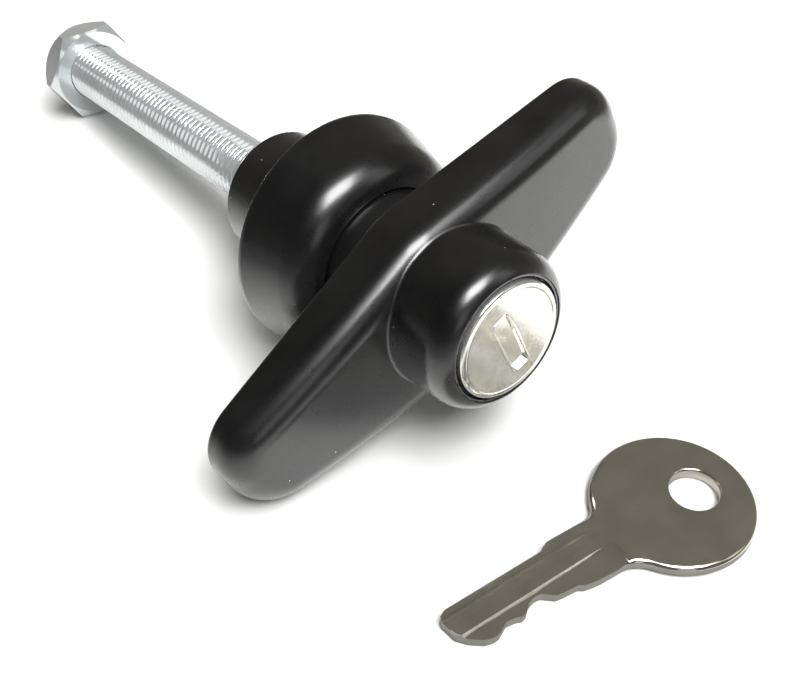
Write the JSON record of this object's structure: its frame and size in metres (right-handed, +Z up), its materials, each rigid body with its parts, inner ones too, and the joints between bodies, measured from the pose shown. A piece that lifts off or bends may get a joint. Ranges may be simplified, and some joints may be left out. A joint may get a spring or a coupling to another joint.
{
  "type": "t-handle lock",
  "caption": "Keyed T-handle lock: a free-turning T handle on a round bell and collar, with a long threaded stud, a hex nut and its flat key.",
  "frame": {"origin": "centre of the bell's rear face, the seat on the panel, on the lock's axis, where the collar leaves it", "axes": "+Z up from the table that the lock lies on; the nose of the handle points along -Y, tilted up by about 7.0 degrees; the raised end of the bar is towards +X"},
  "size_m": [0.0722, 0.1518, 0.0403],
  "materials": {
    "black_paint": "glossy black paint on a zinc casting",
    "zinc_plate": "bright zinc plate",
    "cap_plate": "nickel-plated pressing, lightly dappled",
    "nickel_plate": "nickel plate, lightly worn",
    "steel": "plain machined steel",
    "spring_steel": "plain spring steel",
    "brass": "plain machined brass"
  },
  "bodies": {
    "mounting": {"bell": "black_paint", "collar": "black_paint"},
    "handle": {"handle": "black_paint", "snap_ring": "spring_steel", "housing": "zinc_plate", "cylinder_pin": "steel"},
    "plug": {"plug": "brass", "face_cap": "cap_plate", "plug_clip": "spring_steel", "cam": "steel", "cam_screw": "steel", "shutter_pin": "steel", "shutter_spring": "spring_steel", "wafer_springs": "spring_steel"},
    "shutter": {"shutter": "cap_plate"},
    "slider": {"slider": "steel", "slider_spring": "spring_steel"},
    "stud": {"stud": "zinc_plate", "driver": "steel", "driver_pin": "steel", "thrust_washer": "brass"},
    "nut": {"nut": "zinc_plate"},
    "key": {"key": "nickel_plate"},
    "wafer_1": {"wafer_1": "brass"},
    "wafer_2": {"wafer_2": "brass"},
    "wafer_3": {"wafer_3": "brass"},
    "wafer_4": {"wafer_4": "brass"},
    "wafer_5": {"wafer_5": "brass"}
  },
  "joints": [
    {"name": "handle_spin", "type": "hinge", "parent": "mounting", "child": "handle", "pos_m": [0, 0, 0], "axis": [0, -0.9925, 0.122], "continuous": true},
    {"name": "plug_turn", "type": "hinge", "parent": "handle", "child": "plug", "pos_m": [0, -0.02382, 0.00293], "axis": [0, 0.9925, -0.122], "range_deg": [0, 90]},
    {"name": "shutter_swing", "type": "hinge", "parent": "plug", "child": "shutter", "pos_m": [-0.00154, -0.03491, 0.00289], "axis": [-0.3801, 0.1129, 0.9181], "range_deg": [0, 90], "stiffness_Nm_per_rad": 0.0002, "springref_deg": -17.19},
    {"name": "slider_travel", "type": "slide", "parent": "handle", "child": "slider", "axis": [0, 0.9925, -0.122], "range_m": [0, 0.003]},
    {"name": "stud_turn", "type": "hinge", "parent": "mounting", "child": "stud", "pos_m": [0, 0, 0], "axis": [0, -0.9925, 0.122], "continuous": true},
    {"name": "nut_travel", "type": "slide", "parent": "stud", "child": "nut", "axis": [0, -0.9925, 0.122], "range_m": [0, 0.06]},
    {"name": "key_lift", "type": "slide", "parent": "mounting", "child": "key", "axis": [0, 0, 1], "range_m": [0, 0.06]},
    {"name": "wafer_1_slide", "type": "slide", "parent": "plug", "child": "wafer_1", "axis": [-0.3801, 0.1129, 0.9181], "range_m": [0, 0.0007], "stiffness_N_per_m": 30, "springref_m": 0.0012},
    {"name": "wafer_2_slide", "type": "slide", "parent": "plug", "child": "wafer_2", "axis": [-0.3801, 0.1129, 0.9181], "range_m": [0, 0.0007], "stiffness_N_per_m": 30, "springref_m": 0.0012},
    {"name": "wafer_3_slide", "type": "slide", "parent": "plug", "child": "wafer_3", "axis": [-0.3801, 0.1129, 0.9181], "range_m": [0, 0.0007], "stiffness_N_per_m": 30, "springref_m": 0.0012},
    {"name": "wafer_4_slide", "type": "slide", "parent": "plug", "child": "wafer_4", "axis": [-0.3801, 0.1129, 0.9181], "range_m": [0, 0.0007], "stiffness_N_per_m": 30, "springref_m": 0.0012},
    {"name": "wafer_5_slide", "type": "slide", "parent": "plug", "child": "wafer_5", "axis": [-0.3801, 0.1129, 0.9181], "range_m": [0, 0.0007], "stiffness_N_per_m": 30, "springref_m": 0.0012}
  ],
  "couplings": [
    {"joint": "slider_travel", "follows": "plug_turn", "m_per_rad": 0.0019098}
  ]
}
